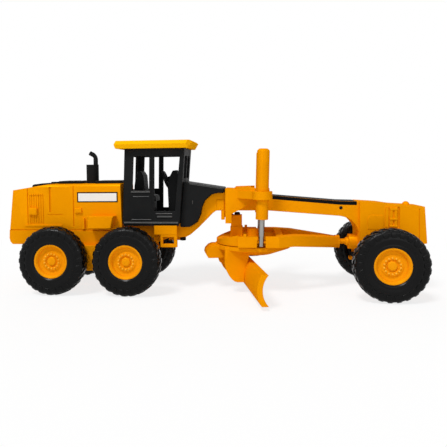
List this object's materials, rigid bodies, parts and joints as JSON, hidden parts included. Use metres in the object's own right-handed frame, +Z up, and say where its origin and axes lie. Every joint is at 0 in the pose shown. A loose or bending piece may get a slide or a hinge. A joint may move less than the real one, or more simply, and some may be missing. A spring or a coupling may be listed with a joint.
{
  "type": "scale model motor grader",
  "caption": "Small die-cast model of a motor grader with turning wheels, steered front wheels, lifting drawbar, swinging curved blade and an open cab.",
  "frame": {"origin": "on the ground, under the middle of the model's box", "axes": "+X forward, +Y left, +Z up"},
  "size_m": [0.1762, 0.0773, 0.0642],
  "materials": {
    "body_paint": "gloss orange-yellow enamel on die-cast metal",
    "roof_plastic": "satin bright yellow plastic",
    "rim_plastic": "satin orange-yellow plastic",
    "black_plastic": "satin black plastic",
    "tyre": "matt black soft plastic",
    "steel": "plain bright steel wire"
  },
  "bodies": {
    "machine": {"rear_frame": "body_paint", "rear_axle": "body_paint", "tandem_case_left": "body_paint", "tandem_case_right": "body_paint", "engine_hood": "body_paint", "hood_trim": "black_plastic", "exhaust": "black_plastic", "side_box_left": "body_paint", "side_box_right": "body_paint", "main_beam": "body_paint", "front_block": "body_paint", "front_axle": "body_paint", "cowl": "black_plastic", "cab_shell": "black_plastic", "cab_roof": "roof_plastic", "seat": "black_plastic", "console": "black_plastic", "steps_left": "body_paint", "steps_right": "body_paint", "saddle": "body_paint", "lift_barrel_left": "body_paint", "lift_barrel_right": "body_paint"},
    "drawbar": {"drawbar": "body_paint", "circle_rivet": "steel"},
    "circle": {"turn_circle": "body_paint", "blade": "body_paint"},
    "knuckle_left": {"knuckle_left": "body_paint"},
    "knuckle_right": {"knuckle_right": "body_paint"},
    "tie_rod": {"tie_rod": "black_plastic"},
    "lift_rod_left": {"lift_rod_left": "steel"},
    "lift_rod_right": {"lift_rod_right": "steel"},
    "wheel_front_left": {"tyre_front_left": "tyre", "rim_front_left": "rim_plastic"},
    "wheel_front_right": {"tyre_front_right": "tyre", "rim_front_right": "rim_plastic"},
    "wheel_mid_left": {"tyre_mid_left": "tyre", "rim_mid_left": "rim_plastic"},
    "wheel_mid_right": {"tyre_mid_right": "tyre", "rim_mid_right": "rim_plastic"},
    "wheel_rear_left": {"tyre_rear_left": "tyre", "rim_rear_left": "rim_plastic"},
    "wheel_rear_right": {"tyre_rear_right": "tyre", "rim_rear_right": "rim_plastic"}
  },
  "joints": [
    {"name": "drawbar_lift", "type": "hinge", "parent": "machine", "child": "drawbar", "pos_m": [0.058, 0, 0.0204], "axis": [0, 1, 0], "range_deg": [0, 6]},
    {"name": "circle_swing", "type": "hinge", "parent": "drawbar", "child": "circle", "pos_m": [0.0174, 0, 0.0175], "axis": [0, 0, 1], "range_deg": [-40, 36]},
    {"name": "lift_rod_left_slide", "type": "slide", "parent": "machine", "child": "lift_rod_left", "axis": [0.0297, 0, 0.9996], "range_m": [0, 0.00388]},
    {"name": "lift_rod_right_slide", "type": "slide", "parent": "machine", "child": "lift_rod_right", "axis": [0.0297, 0, 0.9996], "range_m": [0, 0.00388]},
    {"name": "steer_left", "type": "hinge", "parent": "machine", "child": "knuckle_left", "pos_m": [0.07, 0.0135, 0.01435], "axis": [0, 0, 1], "range_deg": [-20, 20]},
    {"name": "steer_right", "type": "hinge", "parent": "machine", "child": "knuckle_right", "pos_m": [0.07, -0.0135, 0.01435], "axis": [0, 0, 1], "range_deg": [-20, 20]},
    {"name": "tie_rod_slide", "type": "slide", "parent": "machine", "child": "tie_rod", "axis": [0, 1, 0], "range_m": [-0.00246, 0.00246]},
    {"name": "wheel_front_left_spin", "type": "hinge", "parent": "knuckle_left", "child": "wheel_front_left", "pos_m": [0.07, 0.0214, 0.01435], "axis": [0, 1, 0], "continuous": true},
    {"name": "wheel_front_right_spin", "type": "hinge", "parent": "knuckle_right", "child": "wheel_front_right", "pos_m": [0.07, -0.0214, 0.01435], "axis": [0, 1, 0], "continuous": true},
    {"name": "wheel_mid_left_spin", "type": "hinge", "parent": "machine", "child": "wheel_mid_left", "pos_m": [-0.034, 0.0192, 0.01435], "axis": [0, 1, 0], "continuous": true},
    {"name": "wheel_mid_right_spin", "type": "hinge", "parent": "machine", "child": "wheel_mid_right", "pos_m": [-0.034, -0.0192, 0.01435], "axis": [0, 1, 0], "continuous": true},
    {"name": "wheel_rear_left_spin", "type": "hinge", "parent": "machine", "child": "wheel_rear_left", "pos_m": [-0.0656, 0.0192, 0.01435], "axis": [0, 1, 0], "continuous": true},
    {"name": "wheel_rear_right_spin", "type": "hinge", "parent": "machine", "child": "wheel_rear_right", "pos_m": [-0.0656, -0.0192, 0.01435], "axis": [0, 1, 0], "continuous": true}
  ],
  "couplings": [
    {"joint": "lift_rod_left_slide", "follows": "drawbar_lift", "m_per_rad": 0.037},
    {"joint": "lift_rod_right_slide", "follows": "drawbar_lift", "m_per_rad": 0.037},
    {"joint": "steer_right", "follows": "steer_left", "ratio": 1},
    {"joint": "tie_rod_slide", "follows": "steer_left", "m_per_rad": -0.007}
  ]
}
